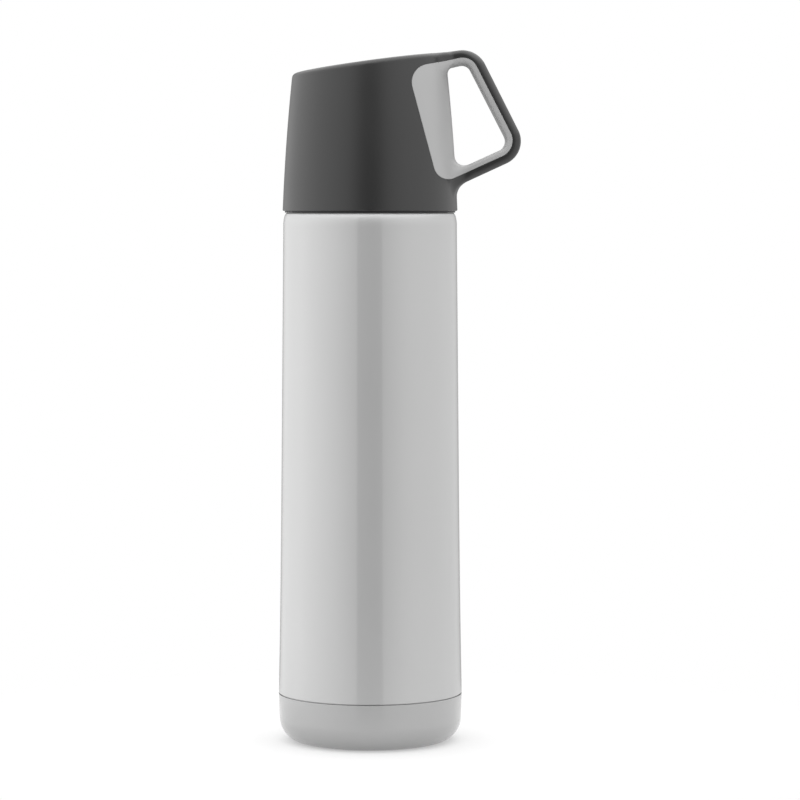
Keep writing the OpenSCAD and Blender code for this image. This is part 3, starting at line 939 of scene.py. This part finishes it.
def stage():
    """A plain pale table of lit acrylic, clearer and clearer away from the flask."""
    half, solid_r, clear_r = 0.3, 0.06, 0.20
    data = bpy.data.meshes.new("floor")
    corners = [(-half, -half, 0), (half, -half, 0), (half, half, 0), (-half, half, 0)]
    data.from_pydata(corners, [], [[0, 1, 2, 3]])
    floor = bpy.data.objects.new("floor", data)
    bpy.context.scene.collection.objects.link(floor)
    m = material("floor_acrylic", grey(0.32), 0.9)
    place = add(m, "ShaderNodeTexCoord")
    radius = add(m, "ShaderNodeVectorMath", operation="LENGTH")
    m.node_tree.links.new(place.outputs["Object"], radius.inputs[0])
    fade = add(m, "ShaderNodeMapRange", interpolation_type="SMOOTHSTEP")
    fade.inputs["From Min"].default_value, fade.inputs["From Max"].default_value = solid_r, clear_r
    fade.inputs["To Min"].default_value, fade.inputs["To Max"].default_value = 1, 0
    m.node_tree.links.new(radius.outputs["Value"], fade.inputs["Value"])
    tint(m, noise(m, 40), grey(0.315), grey(0.325))
    sockets = m.node_tree.nodes["Principled BSDF"].inputs
    m.node_tree.links.new(fade.outputs["Result"], sockets["Alpha"])
    sockets["Emission Color"].default_value = (*grey(1), 1)
    sockets["Emission Strength"].default_value = 0.42
    bump(m, noise(m, 400), 0.05, 0.3)
    data.materials.append(m)


# Brightness of the studio round the flask: degrees from the camera's side, negative to its left
STUDIO = [(-180, 0.4), (-164, 0.45), (-146, 1.15), (-100, 1.65), (-50, 1.2), (-17, 0.85), (-15.5, 0.15),
          (15.5, 0.15), (17, 0.8), (50, 1.1), (110, 1.1), (146, 0.9), (164, 0.4), (180, 0.4)]
BRIGHTEST = 1.7
OVERHEAD = 2.5  # brightness of the light over it all, which fades in between these sines of elevation
OVERHEAD_FROM, OVERHEAD_TO = 0.25, 0.75


def studio_light():
    """A white tent with a darker gap at the camera's side. The camera itself sees plain white."""
    world = bpy.data.worlds.new("studio")
    bpy.context.scene.world = world
    world.use_nodes = True
    tree = world.node_tree
    tree.nodes.clear()
    link = tree.links.new

    def node(kind, **values):
        n = tree.nodes.new(kind)
        for key, value in values.items():
            setattr(n, key, value)
        return n

    place = node("ShaderNodeTexCoord")
    split = node("ShaderNodeSeparateXYZ")
    link(place.outputs["Generated"], split.inputs[0])
    back = node("ShaderNodeMath", operation="MULTIPLY")
    back.inputs[1].default_value = -1
    link(split.outputs["Y"], back.inputs[0])
    angle = node("ShaderNodeMath", operation="ARCTAN2")
    link(split.outputs["X"], angle.inputs[0])
    link(back.outputs[0], angle.inputs[1])
    share = node("ShaderNodeMapRange")
    share.inputs["From Min"].default_value = -math.pi
    share.inputs["From Max"].default_value = math.pi
    link(angle.outputs[0], share.inputs["Value"])
    ramp = node("ShaderNodeValToRGB")
    stops = ramp.color_ramp.elements
    while len(stops) < len(STUDIO):
        stops.new(0.5)
    for stop, (degrees, light) in zip(stops, STUDIO):
        stop.position = (degrees + 180) / 360
        stop.color = (*grey(light / BRIGHTEST), 1)
    link(share.outputs["Result"], ramp.inputs["Fac"])
    overhead = node("ShaderNodeMapRange", interpolation_type="SMOOTHSTEP")
    overhead.inputs["From Min"].default_value = OVERHEAD_FROM
    overhead.inputs["From Max"].default_value = OVERHEAD_TO
    link(split.outputs["Z"], overhead.inputs["Value"])
    sky = node("ShaderNodeMix", data_type="RGBA")
    sky.inputs["B"].default_value = (*grey(OVERHEAD / BRIGHTEST), 1)
    link(overhead.outputs["Result"], sky.inputs["Factor"])
    link(ramp.outputs["Color"], sky.inputs["A"])
    tent = node("ShaderNodeBackground")
    tent.inputs["Strength"].default_value = BRIGHTEST
    link(sky.outputs["Result"], tent.inputs["Color"])
    plain = node("ShaderNodeBackground")
    plain.inputs["Color"].default_value = (*grey(1.0), 1)
    path = node("ShaderNodeLightPath")
    mix = node("ShaderNodeMixShader")
    link(path.outputs["Is Camera Ray"], mix.inputs["Fac"])
    link(tent.outputs[0], mix.inputs[1])
    link(plain.outputs[0], mix.inputs[2])
    out = node("ShaderNodeOutputWorld")
    link(mix.outputs[0], out.inputs["Surface"])


def camera():
    """Level with the mug's rim, far off, and pitched down to take in the whole flask."""
    data = bpy.data.cameras.new("camera")
    data.lens, data.sensor_width = 144.0, 36.0
    cam = bpy.data.objects.new("camera", data)
    bpy.context.scene.collection.objects.link(cam)
    aside, distance, pitch = 0.01137, 1.218, math.radians(3.345)
    cam.location = (aside, -distance, (BODY_H - 0.1) * MM)
    cam.rotation_euler = (math.radians(90) - pitch, 0, 0)
    data.clip_start, data.clip_end = 0.05, 30
    bpy.context.scene.camera = cam


camera()
stage()
studio_light()
bpy.context.scene.view_settings.view_transform = "Standard"

outer_shell()
base_cup()
base_disc()
inner_vessel()
inner_base()
neck_collar()
ring_piece("mug_seal_ring", "cup_seal", "lid_ring", DARK_RUBBER, 30.1, 32.4, 0.25)
mug()
ring_piece("mouth_gasket", "stopper_seal", "gasket", CLEAR_RUBBER, 23.0, 26.3, 0.5)
stopper_body()
stopper_base()
housing()
push_button()
valve_stem()
valve_disc()
ring_piece("valve_gasket", "valve_seal", "button", CLEAR_RUBBER, 6.42, 9.4, 0.35)
button_spring()
dress("stem_seal", DARK_RUBBER)
dress("stopper_foam", foam())
dress("reflector_foil", foil())
dress("getter_pill", sintered())
dress("getter_clip", STEEL_PLAIN)
dress("seal_bead", solder())
